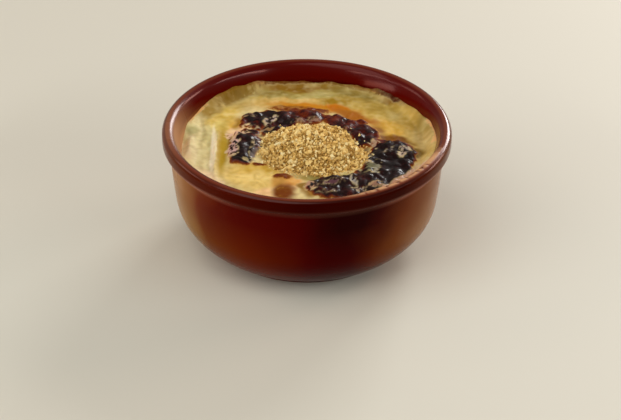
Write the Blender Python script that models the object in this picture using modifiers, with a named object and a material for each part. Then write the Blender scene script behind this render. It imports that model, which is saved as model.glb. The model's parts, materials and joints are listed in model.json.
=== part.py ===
"""Oven-baked rice pudding in its glazed earthenware bowl, topped with a heap of ground hazelnuts.

Units are metres and +Z is up. The origin is the middle of the bowl's flat base, on the table. -Y is the front.
The bowl, the pudding and the heap are turned shapes. Height functions then give the pudding its skin, which
climbs the wall and puffs up where it scorched, and the heap its uneven outline and lumps.
"""

import math

import bpy
from mathutils import Vector, noise

MM = 0.001

# The bowl, whose rim radius and height everything else follows.
RIM_RADIUS = 60.0 * MM
BOWL_HEIGHT = 52.0 * MM
BEAD_HEIGHT = 6.6 * MM
BEAD_DEPTH = 3.1 * MM
BEAD_ROUNDING = 1.8 * MM
LIP_WIDTH = 4.4 * MM
LIP_RISE = 2.0 * MM
NECK_RADIUS = RIM_RADIUS - BEAD_DEPTH
NECK_HEIGHT = BOWL_HEIGHT - BEAD_HEIGHT
BELLY_RADIUS = 54.7 * MM
BELLY_HEIGHT = 21.0 * MM
BELLY_PULL_HEIGHT = 10.2 * MM
BELLY_PULL_INSET = 0.7 * MM
FOOT_RADIUS = 38.0 * MM
FOOT_ROUNDING = 0.9 * MM
WALL_THICKNESS = 4.2 * MM
FLOOR_THICKNESS = 5.4 * MM
FLARE_RADIUS = 51.6 * MM
FLARE_HEIGHT = 38.0 * MM
AROUND = 64

# The pudding. Its level is the middle height of the skin. Neighbouring solids keep the gap between them.
GAP = 0.3 * MM
PUDDING_LEVEL = 43.0 * MM
SKIN_RINGS = 18
SKIN_WAVE = 0.3 * MM
SKIN_WAVE_LENGTH = 14.0 * MM
CLIMB_WIDTH = 5.0 * MM
CLIMB_ALL_ROUND = 0.5 * MM
# Where the skin climbs the wall further: direction and half width (degrees), and the extra height (mm).
CLIMBS = {"back_left": (128, 26, 1.5), "back_right": (36, 40, 1.6)}
# The fold on the left, with the paler, sunken skin between it and the wall.
FOLD_X = -37.5 * MM
FOLD_Y = -6.0 * MM
FOLD_HALF_LENGTH = 27.0 * MM
FOLD_WIDTH = 1.8 * MM
FOLD_HEIGHT = 0.8 * MM
SUNKEN_DEPTH = 0.7 * MM
# The scorched, puffed patches of skin round the heap: middle x and y, half length and half width (mm),
# the turn of the length from +X (degrees), and how far the skin is puffed up (mm).
SCORCHED_PATCHES = {
    "back_left": (-18, 21, 10, 7, 20, 1.2),
    "back_middle": (0, 26, 12, 5, -5, 1.0),
    "back_right": (18, 17, 12, 8, -45, 1.1),
    "right": (37, -4, 14, 9, 100, 1.5),
    "front_right": (31, -21, 11, 8, 45, 1.4),
    "front": (14, -32, 14, 7, 12, 1.3),
    "left": (-26, -3, 14, 7, 82, 1.3),
    "front_spot": (-9.5, -36, 4.5, 4, 0, 0.6),
}

# The heap of ground hazelnuts.
HEAP_X = 2.5 * MM
HEAP_Y = -3.5 * MM
HEAP_RADIUS = 22.0 * MM
HEAP_HEIGHT = 7.4 * MM
HEAP_EDGE_HEIGHT = 0.9 * MM
HEAP_STEEPNESS = 1.7
# Where the outline bulges or is flattened: direction and half width (degrees), and how far out (mm).
HEAP_LOBES = {"back_right": (40, 34, -2.4), "front_right": (312, 32, 1.6), "back_left": (140, 30, 0.8)}
HEAP_UNEVEN = 0.03
HEAP_LUMP = 0.5 * MM
HEAP_LUMP_LENGTH = 5.0 * MM
HEAP_AROUND = 48
HEAP_RINGS = 10
SEAT_MARGIN = 0.8 * MM
SEAT_BLEND = 3.0 * MM


# --- helpers -------------------------------------------------------------------------------------


def material(name, colour, roughness):
    made = bpy.data.materials.new(name)
    made.use_nodes = True
    shader = made.node_tree.nodes["Principled BSDF"]
    shader.inputs["Base Color"].default_value = (*colour, 1.0)
    shader.inputs["Roughness"].default_value = roughness
    shader.inputs["Metallic"].default_value = 0.0
    return made


def smoothstep(value):
    value = min(max(value, 0.0), 1.0)
    return value * value * (3 - 2 * value)


def arc(centre, radii, start, end, count):
    """Points (r, z) along an upright ellipse, from start to end in degrees, both ends included."""
    angles = [math.radians(start + (end - start) * i / count) for i in range(count + 1)]
    return [
        (centre[0] + radii[0] * math.cos(a), centre[1] + radii[1] * math.sin(a)) for a in angles
    ]


def bezier(first, pull, last, count):
    """Points along a quadratic curve from first to last, drawn towards pull."""
    points = []
    for i in range(count + 1):
        t = i / count
        weights = ((1 - t) ** 2, 2 * t * (1 - t), t**2)
        both = [sum(w * p[k] for w, p in zip(weights, (first, pull, last))) for k in (0, 1)]
        points.append(tuple(both))
    return points


def bumps(angle, table):
    """The sum, at a direction in radians, of smooth bumps: name to (direction, half width, height in mm)."""
    total = 0.0
    for direction, half_width, height in table.values():
        away = math.degrees(angle) - direction
        away = abs((away + 180) % 360 - 180)
        total += height * MM * smoothstep(1 - away / half_width)
    return total


def turned(name, profile, around, collection):
    """A body turned about Z from a profile of (r, z) points that runs down its outer side."""
    mesh = bpy.data.meshes.new(name)
    edges = [(i, i + 1) for i in range(len(profile) - 1)]
    mesh.from_pydata([(r, 0.0, z) for r, z in profile], edges, [])
    obj = bpy.data.objects.new(name, mesh)
    collection.objects.link(obj)
    screw = obj.modifiers.new("turn", "SCREW")
    screw.axis = "Z"
    screw.angle = math.tau
    screw.steps = around
    screw.render_steps = around
    screw.use_merge_vertices = True
    screw.merge_threshold = 0.00001
    screw.use_smooth_shade = True
    return obj


def applied(obj):
    """Replaces a turned object's profile by the surface that it makes, ready to be shaped by heights."""
    graph = bpy.context.evaluated_depsgraph_get()
    mesh = bpy.data.meshes.new_from_object(obj.evaluated_get(graph))
    obj.modifiers.clear()
    obj.data = mesh
    return obj


# --- the bowl ------------------------------------------------------------------------------------


def inner_side():
    """The bowl's inner side, as (r, z), from the middle of its floor up to the lip."""
    radius = BELLY_RADIUS - WALL_THICKNESS
    floor = (FOOT_RADIUS - 4.0 * MM, FLOOR_THICKNESS)
    belly_pull = (radius - BELLY_PULL_INSET, BELLY_PULL_HEIGHT + 0.5 * FLOOR_THICKNESS)
    belly = bezier(floor, belly_pull, (radius, BELLY_HEIGHT + 1.5 * MM), 6)
    lip = (RIM_RADIUS - LIP_WIDTH, BOWL_HEIGHT - LIP_RISE)
    flare_pull = (FLARE_RADIUS + 0.7 * MM, NECK_HEIGHT - 0.9 * MM)
    flare = bezier((FLARE_RADIUS, FLARE_HEIGHT), flare_pull, lip, 6)
    return [(0.0, FLOOR_THICKNESS), *belly, *flare]


def inner_radius(height):
    """The radius of the bowl's inner wall at a height."""
    side = inner_side()
    for (low_r, low_z), (high_r, high_z) in zip(side[1:], side[2:]):
        if height <= high_z:
            share = (height - low_z) / (high_z - low_z)
            return low_r + share * (high_r - low_r)
    return side[-1][0]


def outer_side():
    """The bowl's outer side, as (r, z), from under the lip down to the middle of its base."""
    bead = arc((NECK_RADIUS, NECK_HEIGHT + BEAD_ROUNDING), (BEAD_DEPTH, BEAD_ROUNDING), 0, -90, 4)
    middle = (0.5 * (BELLY_RADIUS + NECK_RADIUS), 0.5 * (BELLY_HEIGHT + NECK_HEIGHT))
    foot = (FOOT_RADIUS + FOOT_ROUNDING, 0.7 * FOOT_ROUNDING)
    belly_pull = (BELLY_RADIUS - BELLY_PULL_INSET, BELLY_PULL_HEIGHT)
    belly = bezier((BELLY_RADIUS, BELLY_HEIGHT), belly_pull, foot, 8)
    base = [(FOOT_RADIUS, 0.15 * FOOT_ROUNDING), (FOOT_RADIUS - FOOT_ROUNDING, 0.0), (0.0, 0.0)]
    return [*bead, middle, *belly, *base]


def make_bowl(collection):
    half_lip = 0.5 * LIP_WIDTH
    lip = arc((RIM_RADIUS - half_lip, BOWL_HEIGHT - LIP_RISE), (half_lip, LIP_RISE), 180, 0, 8)
    bowl = turned("bowl", [*inner_side(), *lip[1:], *outer_side()], AROUND, collection)
    bowl.data.materials.append(material("glazed earthenware", (0.16, 0.022, 0.008), 0.18))


# --- the heap's outline, which the pudding needs as well ------------------------------------------


def heap_outline(angle):
    """The heap's radius in a direction from its middle, in radians."""
    place = Vector((1.6 * math.cos(angle), 1.6 * math.sin(angle), 5.2))
    return HEAP_RADIUS * (1 + HEAP_UNEVEN * noise.noise(place)) + bumps(angle, HEAP_LOBES)


# --- the pudding ---------------------------------------------------------------------------------


def puff(x, y, patch):
    """How far one scorched patch lifts the skin at x, y: an oval dome."""
    middle_x, middle_y, half_length, half_width, turn, height = SCORCHED_PATCHES[patch]
    angle = math.radians(turn)
    dx, dy = x - middle_x * MM, y - middle_y * MM
    along = (dx * math.cos(angle) + dy * math.sin(angle)) / (half_length * MM)
    across = (dy * math.cos(angle) - dx * math.sin(angle)) / (half_width * MM)
    return height * MM * smoothstep(1.25 * (1 - math.hypot(along, across)))


def fold_relief(x, y):
    """The fold's ridge, less the hollow between it and the wall."""
    reach = smoothstep(2 * (1 - abs(y - FOLD_Y) / FOLD_HALF_LENGTH))
    ridge = math.exp(-(((x - FOLD_X) / FOLD_WIDTH) ** 2))
    outside = smoothstep((FOLD_X - x) / (3 * FOLD_WIDTH))
    from_wall = smoothstep((inner_radius(PUDDING_LEVEL) - math.hypot(x, y)) / CLIMB_WIDTH)
    return reach * (FOLD_HEIGHT * ridge - SUNKEN_DEPTH * outside * from_wall)


def skin_relief(x, y):
    """The height of the skin at x, y above the pudding's level."""
    wave = SKIN_WAVE * noise.noise(Vector((x, y, 0.0)) / SKIN_WAVE_LENGTH + Vector((3.1, 7.7, 0.4)))
    from_wall = inner_radius(PUDDING_LEVEL) - math.hypot(x, y)
    climb = CLIMB_ALL_ROUND + bumps(math.atan2(y, x), CLIMBS)
    climb *= smoothstep(1 - from_wall / CLIMB_WIDTH)
    puffed = max(puff(x, y, patch) for patch in SCORCHED_PATCHES)
    # The skin is flat under the heap, so that the heap can sit on it.
    heap_x, heap_y = x - HEAP_X, y - HEAP_Y
    from_heap = math.hypot(heap_x, heap_y) - heap_outline(math.atan2(heap_y, heap_x)) - SEAT_MARGIN
    return (wave + climb + puffed + fold_relief(x, y)) * smoothstep(from_heap / SEAT_BLEND)


def make_pudding(collection):
    side = [(max(r - GAP, 0.0), z + GAP) for r, z in inner_side()]
    side = [point for point in side if point[1] < PUDDING_LEVEL - 1.0 * MM]
    edge = inner_radius(PUDDING_LEVEL) - GAP
    skin = [(edge * i / SKIN_RINGS, PUDDING_LEVEL) for i in range(SKIN_RINGS + 1)]
    pudding = applied(turned("pudding", [*skin, *reversed(side)], AROUND, collection))
    for vertex in pudding.data.vertices:
        x, y, z = vertex.co
        if z < PUDDING_LEVEL - 0.1 * MM:
            continue
        radius = math.hypot(x, y)
        vertex.co.z = z + skin_relief(x, y)
        if radius > edge - 0.1 * MM:
            # The skin's edge stays the gap away from the wall, which flares as the skin climbs it.
            outwards = (inner_radius(vertex.co.z) - GAP) / radius
            vertex.co.x = x * outwards
            vertex.co.y = y * outwards
    pudding.data.materials.append(material("baked milk skin", (0.62, 0.46, 0.16), 0.35))


# --- the heap of ground hazelnuts ----------------------------------------------------------------


def make_heap(collection):
    bottom = PUDDING_LEVEL + GAP
    dome = []
    for i in range(HEAP_RINGS + 1):
        share = i / HEAP_RINGS
        rise = (HEAP_HEIGHT - HEAP_EDGE_HEIGHT) * (1 - share**HEAP_STEEPNESS)
        dome.append((HEAP_RADIUS * share, bottom + HEAP_EDGE_HEIGHT + rise))
    under = [(0.98 * HEAP_RADIUS, bottom), (0.5 * HEAP_RADIUS, bottom), (0.0, bottom)]
    heap = applied(turned("nut_heap", [*dome, *under], HEAP_AROUND, collection))
    for vertex in heap.data.vertices:
        x, y, z = vertex.co
        stretch = heap_outline(math.atan2(y, x)) / HEAP_RADIUS
        lump = noise.noise(Vector((x, y, z)) / HEAP_LUMP_LENGTH + Vector((0.7, 2.9, 1.3)))
        above = smoothstep((z - bottom) / (1.5 * MM))
        vertex.co = (HEAP_X + x * stretch, HEAP_Y + y * stretch, z + HEAP_LUMP * lump * above)
    heap.data.materials.append(material("ground hazelnuts", (0.50, 0.30, 0.11), 0.8))


def main():
    for obj in list(bpy.data.objects):
        bpy.data.objects.remove(obj)
    collection = bpy.data.collections.new("baked_rice_pudding")
    bpy.context.scene.collection.children.link(collection)
    make_bowl(collection)
    make_pudding(collection)
    make_heap(collection)


main()
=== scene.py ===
# %% [markdown]
# # Oven-baked rice pudding in its earthenware bowl
#
# The pudding is set milk and rice, baked in the clay bowl that it is served in. Its skin has scorched dark
# round the middle, and a heap of ground hazelnuts lies on it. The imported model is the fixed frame: it says
# how large everything is and where it sits, and the pieces made here give it its looks.

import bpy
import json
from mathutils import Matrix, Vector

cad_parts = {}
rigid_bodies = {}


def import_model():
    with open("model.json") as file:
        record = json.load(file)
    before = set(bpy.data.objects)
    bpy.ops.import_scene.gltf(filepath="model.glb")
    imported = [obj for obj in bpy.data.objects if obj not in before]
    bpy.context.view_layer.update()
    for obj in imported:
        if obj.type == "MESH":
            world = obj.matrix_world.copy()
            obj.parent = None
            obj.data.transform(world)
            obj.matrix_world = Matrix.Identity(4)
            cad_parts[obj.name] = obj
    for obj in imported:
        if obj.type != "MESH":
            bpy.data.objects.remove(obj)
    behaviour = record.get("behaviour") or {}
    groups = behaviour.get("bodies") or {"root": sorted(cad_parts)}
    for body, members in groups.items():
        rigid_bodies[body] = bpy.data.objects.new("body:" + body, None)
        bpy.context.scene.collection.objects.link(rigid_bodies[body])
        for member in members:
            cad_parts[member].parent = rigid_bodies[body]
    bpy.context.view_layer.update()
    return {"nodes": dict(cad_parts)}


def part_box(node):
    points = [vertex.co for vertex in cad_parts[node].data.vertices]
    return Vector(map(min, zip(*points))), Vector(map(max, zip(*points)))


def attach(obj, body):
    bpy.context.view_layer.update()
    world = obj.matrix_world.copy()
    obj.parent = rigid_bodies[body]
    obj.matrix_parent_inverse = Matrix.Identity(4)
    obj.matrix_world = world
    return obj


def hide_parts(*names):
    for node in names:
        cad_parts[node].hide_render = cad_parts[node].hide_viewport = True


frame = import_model()
print("the frame's nodes:", sorted(frame["nodes"]))

# %% [markdown]
# ## Sizes
#
# Every size starts from the frame, so that a change there carries through. The working unit of the shapes
# is the millimetre, which suits a bowl as wide as a hand. Points are turned to metres when a mesh is made.

# %% Take the driving sizes from the frame
import json
import math
import random

import bmesh
import bpy
import numpy as np
from mathutils import Euler, Vector, noise

MM = 0.001
RIM_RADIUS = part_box("bowl")[1].x / MM
BOWL_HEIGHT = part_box("bowl")[1].z / MM
PUDDING_LEVEL = BOWL_HEIGHT - 9.0
heap_low, heap_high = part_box("nut_heap")
HEAP_X = (heap_low.x + heap_high.x) / 2 / MM
HEAP_Y = (heap_low.y + heap_high.y) / 2 / MM
HEAP_RADIUS = (heap_high.x - heap_low.x) / 2 / MM
HEAP_TOP = heap_high.z / MM
print(f"rim radius {RIM_RADIUS:.1f} mm, height {BOWL_HEIGHT:.1f} mm, pudding level {PUDDING_LEVEL:.1f} mm")
print(f"heap at {HEAP_X:.1f}, {HEAP_Y:.1f} mm, radius {HEAP_RADIUS:.1f} mm, top at {HEAP_TOP:.1f} mm")

# %% [markdown]
# ## Helpers for colours and nodes
#
# Colours are written as sRGB hex values, as a paint chart gives them, while Blender's shaders work in
# linear light, so one function converts them. One more function adds a node to any tree, with its settings
# and links. A Mix node keeps a pair of sockets for each type of data: its two colours are inputs 6 and 7,
# its result is output 2, and its factor is input 0.

# %% Define the colour and node helpers
def colour(hex_value):
    """A hex value such as "a0522d", as linear RGBA."""
    parts = [int(hex_value[i : i + 2], 16) / 255 for i in (0, 2, 4)]
    linear = [c / 12.92 if c <= 0.04045 else ((c + 0.055) / 1.055) ** 2.4 for c in parts]
    return (*linear, 1.0)


def add(tree, kind, inputs=None, **settings):
    """Adds a node. Settings are its properties; inputs are its sockets' values, or sockets to link."""
    made = tree.nodes.new(kind)
    for name, value in settings.items():
        setattr(made, name, value)
    for name, value in (inputs or {}).items():
        if isinstance(value, bpy.types.NodeSocket):
            tree.links.new(value, made.inputs[name])
        else:
            made.inputs[name].default_value = value
    return made


def set_stops(ramp_node, stops):
    """Gives a Color Ramp node its stops, a list of (position, hex value)."""
    elements = ramp_node.color_ramp.elements
    while len(elements) > 1:
        elements.remove(elements[-1])
    for i, (position, hex_value) in enumerate(stops):
        stop = elements[0] if i == 0 else elements.new(position)
        stop.position = position
        stop.color = colour(hex_value)
    return ramp_node.outputs["Color"]


def new_material(name):
    """A new material, its node tree and its Principled shader."""
    made = bpy.data.materials.new(name)
    made.use_nodes = True
    return made, made.node_tree, made.node_tree.nodes["Principled BSDF"]


print("example: terracotta in linear light is", [round(c, 3) for c in colour("b4603c")])

# %% [markdown]
# ## The glaze
#
# The bowl is red earthenware, turned on a wheel and fired under a glossy, transparent red-brown glaze.
# Glaze runs off edges as it melts, so the clay shows lighter on the lip's crest, where a painted highlight line
# is laid in as well, and the foot is wiped bare before firing, so that it doesn't stick to the kiln shelf. A
# lighter band under the bead is a painted highlight. The shader takes the height on the bowl to tell lip, bead,
# wall and foot apart. The front is nearly black-red and the two sides brown, partly from the kiln and partly as
# painted light, so three ramps of colour run from left to right, with a slow noise to push them about; their
# pale ends are painted reflections of the floor. A faint bump gives the gloss the slight swim of a real glaze.
# The specular tint is the glaze's own red: what it reflects head on is coloured, and what it reflects at a
# glancing angle isn't.
#
# One function makes two glazes, because the shine is a plain number on the shader. The wall outside has
# one thin, dark coat that hardly shines. The lip and the inside were dipped twice, and a clear bead
# gathers on the crest.

# %% Make the glazed earthenware
def make_glaze(name, shine, coat, roughness):
    material, tree, shader = new_material(name)
    place = add(tree, "ShaderNodeTexCoord").outputs["Object"]
    parts = add(tree, "ShaderNodeSeparateXYZ", {"Vector": place})
    height = parts.outputs["Z"]
    # Firing clouds the colour over about 40 mm. The two sides are browner than the front partly from the firing
    # and partly as painted light, with painted reflections of the floor at their far ends.
    clouds = add(tree, "ShaderNodeTexNoise", {"Vector": place, "Scale": 1 / (40 * MM), "Detail": 2.0})
    clouds = clouds.outputs["Fac"]
    drift = {"Value": clouds, "From Min": 0.3, "From Max": 0.7, "To Min": -0.05, "To Max": 0.05}
    drift = add(tree, "ShaderNodeMapRange", drift, clamp=False).outputs["Result"]
    across = {"Value": parts.outputs["X"], "From Min": -RIM_RADIUS * MM, "From Max": RIM_RADIUS * MM}
    across = add(tree, "ShaderNodeMapRange", across).outputs["Result"]
    fired_and_lit = add(tree, "ShaderNodeMath", {0: across, 1: drift}, operation="ADD").outputs[0]
    upper = set_stops(add(tree, "ShaderNodeValToRGB", {"Fac": fired_and_lit}), UPPER_STOPS)
    lower = set_stops(add(tree, "ShaderNodeValToRGB", {"Fac": fired_and_lit}), LOWER_STOPS)
    rise = add(tree, "ShaderNodeMapRange", {"Value": height, "From Min": 20 * MM, "From Max": 36 * MM})
    body = add(tree, "ShaderNodeMix", {0: rise.outputs[0], 6: lower, 7: upper}, data_type="RGBA").outputs[2]
    # The rim and the inside were dipped in the glaze twice, so they are an even red. The bead outside is painted
    # darker, as painted shade, and lighter towards the two sides, as painted reflection.
    dipped = {"Value": height, "From Min": (NECK_HEIGHT - 2) * MM, "From Max": (NECK_HEIGHT + 0.5) * MM}
    dipped = add(tree, "ShaderNodeMapRange", dipped).outputs["Result"]
    outside = add(tree, "ShaderNodeAttribute", attribute_name="outside").outputs["Fac"]
    bead = set_stops(add(tree, "ShaderNodeValToRGB", {"Fac": across}), BEAD_STOPS)
    twice = {0: outside, 6: colour("540400"), 7: bead}
    twice = add(tree, "ShaderNodeMix", twice, data_type="RGBA").outputs[2]
    body_colour = {0: dipped, 6: body, 7: twice}
    body_colour = add(tree, "ShaderNodeMix", body_colour, data_type="RGBA").outputs[2]
    # Under the bead a lighter band is painted in, most of all at the sides: a painted highlight, where the
    # hollow under the bead reflects the floor.
    past_line = {0: height, 1: (NECK_HEIGHT - 0.4) * MM}
    past_line = add(tree, "ShaderNodeMath", past_line, operation="SUBTRACT").outputs[0]
    from_line = add(tree, "ShaderNodeMath", {0: past_line}, operation="ABSOLUTE").outputs[0]
    line = {"Value": from_line, "From Min": 0.4 * MM, "From Max": 2.7 * MM, "To Min": 1.0, "To Max": 0.0}
    line = add(tree, "ShaderNodeMapRange", line).outputs["Result"]
    line = add(tree, "ShaderNodeMath", {0: line, 1: outside}, operation="MULTIPLY").outputs[0]
    aside = add(tree, "ShaderNodeMath", {0: parts.outputs["X"]}, operation="ABSOLUTE").outputs[0]
    sheen_at_sides = {"Value": aside, "From Min": 0.4 * RIM_RADIUS * MM, "From Max": 0.9 * RIM_RADIUS * MM}
    sheen_at_sides = {**sheen_at_sides, "To Min": 0.1, "To Max": 0.88}
    sheen_at_sides = add(tree, "ShaderNodeMapRange", sheen_at_sides, interpolation_type="SMOOTHSTEP").outputs["Result"]
    line = add(tree, "ShaderNodeMath", {0: line, 1: sheen_at_sides}, operation="MULTIPLY").outputs[0]
    body_colour = {0: line, 6: body_colour, 7: colour("c08068")}
    body_colour = add(tree, "ShaderNodeMix", body_colour, data_type="RGBA").outputs[2]
    # It thins out on the lip's crest too, and the lighter crest is also a painted highlight line.
    top = BOWL_HEIGHT * MM
    crest = {"Value": height, "From Min": top - 0.35 * MM, "From Max": top, "To Max": 0.28}
    thin_and_highlit = add(tree, "ShaderNodeMapRange", crest).outputs["Result"]
    lip = add(tree, "ShaderNodeMix", {0: thin_and_highlit, 6: body_colour, 7: colour("9c5430")}, data_type="RGBA")
    # Below the glaze line, 0.3 mm up, the clay is bare.
    line = {"Value": height, "From Min": 0.15 * MM, "From Max": 0.45 * MM, "To Min": 1.0, "To Max": 0.0}
    bare = add(tree, "ShaderNodeMapRange", line).outputs["Result"]
    foot = add(tree, "ShaderNodeMix", {0: bare, 6: lip.outputs[2], 7: colour("8a4a30")}, data_type="RGBA")
    # Milk that boiled up has dried on the wall inside and on the lip, as a thin pinkish crust. On the left the
    # film is also a painted reflection of the pudding in the wall and, on the crest, a broad painted highlight;
    # the crust's pale colour at the front right is partly a painted highlight.
    film_and_sheen = add(tree, "ShaderNodeAttribute", attribute_name="film_and_sheen").outputs["Fac"]
    crusted = {0: film_and_sheen, 6: foot.outputs[2], 7: colour("cc9868")}
    crusted = add(tree, "ShaderNodeMix", crusted, data_type="RGBA").outputs[2]
    tree.links.new(crusted, shader.inputs["Base Color"])
    matt = add(tree, "ShaderNodeMath", {0: bare, 1: film_and_sheen}, operation="MAXIMUM").outputs[0]
    rough = add(tree, "ShaderNodeMapRange", {"Value": matt, "To Min": roughness, "To Max": 0.85})
    tree.links.new(rough.outputs["Result"], shader.inputs["Roughness"])
    swim = add(tree, "ShaderNodeTexNoise", {"Vector": place, "Scale": 1 / (7 * MM), "Detail": 1.0})
    bump = {"Height": swim.outputs["Fac"], "Distance": 0.12 * MM, "Strength": 0.5}
    bump = add(tree, "ShaderNodeBump", bump)
    tree.links.new(bump.outputs["Normal"], shader.inputs["Normal"])
    # A thick bead of clear glaze gathers round the lip's crest.
    crest = {"Value": height, "From Min": top - 5 * MM, "From Max": top, "To Max": coat}
    crest = add(tree, "ShaderNodeMapRange", crest).outputs["Result"]
    tree.links.new(crest, shader.inputs["Coat Weight"])
    shader.inputs["Coat Roughness"].default_value = 0.22
    shader.inputs["Specular IOR Level"].default_value = shine
    shader.inputs["Specular Tint"].default_value = colour("c8705a")
    shader.inputs["IOR"].default_value = 1.45
    return material


# From the bowl's left side to its right, on the wall's upper half, on its lower half and on the bead. The pale
# ends are painted reflections of the floor, and the near-black stops of the upper half, at the front right, are
# painted shade under the bead.
UPPER_STOPS = [
    (0.00, "b08658"),
    (0.07, "885424"),
    (0.14, "682404"),
    (0.20, "540e00"),
    (0.26, "500600"),
    (0.48, "440000"),
    (0.56, "2e0000"),
    (0.64, "220000"),
    (0.73, "220000"),
    (0.78, "380400"),
    (0.84, "622a0a"),
    (0.92, "7e4a22"),
    (1.00, "a8805a"),
]
LOWER_STOPS = [
    (0.00, "b08658"),
    (0.08, "886030"),
    (0.16, "683004"),
    (0.30, "601c00"),
    (0.40, "521000"),
    (0.50, "440000"),
    (0.60, "3c0000"),
    (0.68, "3c0000"),
    (0.74, "541800"),
    (0.84, "703a14"),
    (1.00, "a8805a"),
]
# The bead's dark middle is painted shade, and its lighter ends are painted reflection.
BEAD_STOPS = [
    (0.00, "6a4030"),
    (0.05, "5a2c18"),
    (0.12, "4c1604"),
    (0.23, "440a00"),
    (0.50, "300200"),
    (0.82, "320600"),
    (0.90, "4a1604"),
    (1.00, "6a4028"),
]


# %% [markdown]
# ## The bowl's profile
#
# A turned bowl is known by its profile, the outline of half a slice through it. It is drawn here as a few
# curves with real sizes: the flared wall inside, a rounded lip, a rolled bead with a small hollow under
# it, a nearly straight wall, a round belly and a flat foot. Each curve gives only the points that its bend
# needs.

# %% Draw the bowl's profile
NECK_RADIUS = RIM_RADIUS - 3.1
NECK_HEIGHT = BOWL_HEIGHT - 6.6
FLOOR_HEIGHT = 5.4
LIP_HALF_WIDTH = 2.2
LIP_RISE = 2.0
LIP_INSIDE = (3.4, 3.6)
FILLET = 0.9
FLARE_START = (51.6, 38.0)
BELLY_TOP = (54.8, 21.0)
FOOT_RADIUS = 38.0


def arc(centre, radii, start, end, count):
    """Points (r, z) along an upright ellipse, from start to end in degrees, both ends included."""
    angles = np.radians(np.linspace(start, end, count + 1))
    return [(centre[0] + radii[0] * math.cos(a), centre[1] + radii[1] * math.sin(a)) for a in angles]


def bezier(first, pull, last, count):
    """Points along a quadratic curve from first to last, drawn towards pull."""
    points = []
    for t in np.linspace(0, 1, count + 1):
        weights = ((1 - t) ** 2, 2 * t * (1 - t), t**2)
        points.append(tuple(sum(w * p[k] for w, p in zip(weights, (first, pull, last))) for k in (0, 1)))
    return points


def inner_side():
    """The inner side from the middle of the floor up to the lip."""
    floor = (34.0, FLOOR_HEIGHT)
    belly = bezier(floor, (49.8, 12.9), (50.5, 22.5), 10)
    top = (RIM_RADIUS - LIP_HALF_WIDTH, BOWL_HEIGHT - LIP_INSIDE[1])
    rounding = arc(top, LIP_INSIDE, 150, 90, 12)
    flare = bezier(FLARE_START, (52.1, 44.9), rounding[0], 16)
    return [(0.0, FLOOR_HEIGHT), (17.0, FLOOR_HEIGHT), *belly, (51.1, 30.0), *flare, *rounding[1:]]


def outer_side():
    """The outer side from the bead down to the middle of the base."""
    under_bead = arc((NECK_RADIUS + FILLET, NECK_HEIGHT + 1.8), (3.1 - FILLET, 1.8), 0, -90, 8)
    cove = arc((NECK_RADIUS + FILLET, NECK_HEIGHT - FILLET), (FILLET, FILLET), 90, 180, 6)
    wall = bezier((NECK_RADIUS, NECK_HEIGHT - FILLET), (56.4, 33.0), BELLY_TOP, 14)
    belly = bezier(BELLY_TOP, (53.3, 9.6), (FOOT_RADIUS + 0.9, 0.9), 18)
    foot = arc((FOOT_RADIUS, 0.9), (0.9, 0.9), 0, -90, 5)
    return [*under_bead, *cove[1:], *wall[1:], *belly[1:], *foot[1:], (30.0, 0.0), (0.0, 0.0)]


lip = arc((RIM_RADIUS - LIP_HALF_WIDTH, BOWL_HEIGHT - LIP_RISE), (LIP_HALF_WIDTH, LIP_RISE), 90, 0, 10)
bowl_profile = [*inner_side(), *lip[1:], *outer_side()]
inner_wall = np.array(inner_side()[2:])
wall_glaze = make_glaze("thinly glazed red earthenware", 0.06, 0.0, 0.2)
rim_glaze = make_glaze("twice glazed red earthenware", 0.36, 0.36, 0.14)


def inner_radius(height):
    """The radius of the bowl's inner wall at a height, for one height or an array of them."""
    return np.interp(height, inner_wall[:, 1], inner_wall[:, 0])


print(len(bowl_profile), "points on the profile;", len(rim_glaze.node_tree.nodes), "nodes in a glaze")
print("the wall's inner radius at the pudding's level is", round(float(inner_radius(PUDDING_LEVEL)), 2), "mm")

# %% [markdown]
# ## The bowl, turned by Geometry Nodes
#
# A Screw modifier could turn the profile, and so can a small node tree, which also lets the wheel wobble a
# little as a potter's does. The tree makes a grid with one row for each point of the profile and one
# column for each step round. It then moves every grid point to its place on the turn, pushes it in or out
# by a slow noise, and welds the seam and the two poles.

# %% Define helpers for Geometry Nodes trees
def new_geometry_tree(name, sockets):
    """A tree with a geometry input and output. Its other inputs are given as {name: (kind, default)}."""
    tree = bpy.data.node_groups.new(name, "GeometryNodeTree")
    tree.interface.new_socket("Geometry", in_out="INPUT", socket_type="NodeSocketGeometry")
    tree.interface.new_socket("Geometry", in_out="OUTPUT", socket_type="NodeSocketGeometry")
    for label, (kind, default) in sockets.items():
        socket = tree.interface.new_socket(label, in_out="INPUT", socket_type=kind)
        if default is not None:
            socket.default_value = default
    return tree, add(tree, "NodeGroupInput").outputs, add(tree, "NodeGroupOutput").inputs


def run_tree(obj, tree, values):
    """Runs the tree on an object, with its inputs set by name, and keeps the result as a plain mesh."""
    modifier = obj.modifiers.new(tree.name, "NODES")
    modifier.node_group = tree
    for item in tree.interface.items_tree:
        if item.in_out == "INPUT" and item.name in values:
            modifier[item.identifier] = values[item.name]
    graph = bpy.context.evaluated_depsgraph_get()
    mesh = bpy.data.meshes.new_from_object(obj.evaluated_get(graph))
    obj.modifiers.clear()
    return mesh


def new_object(name, mesh):
    """Puts a mesh into the scene as an object at the origin."""
    obj = bpy.data.objects.new(name, mesh)
    bpy.context.scene.collection.objects.link(obj)
    return obj


def mesh_of(name, points_mm, faces=(), edges=()):
    """A mesh from points in millimetres."""
    mesh = bpy.data.meshes.new(name)
    points = np.asarray(points_mm, float) * MM
    mesh.from_pydata(points.tolist(), list(edges), list(faces))
    return mesh


def keep_field(mesh, name, values, fill=0.0):
    """Stores one number for each point; points past the given values get the fill."""
    whole = np.full(len(mesh.vertices), fill, np.float32)
    whole[: len(values)] = values
    mesh.attributes.new(name, "FLOAT", "POINT").data.foreach_set("value", whole)


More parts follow.
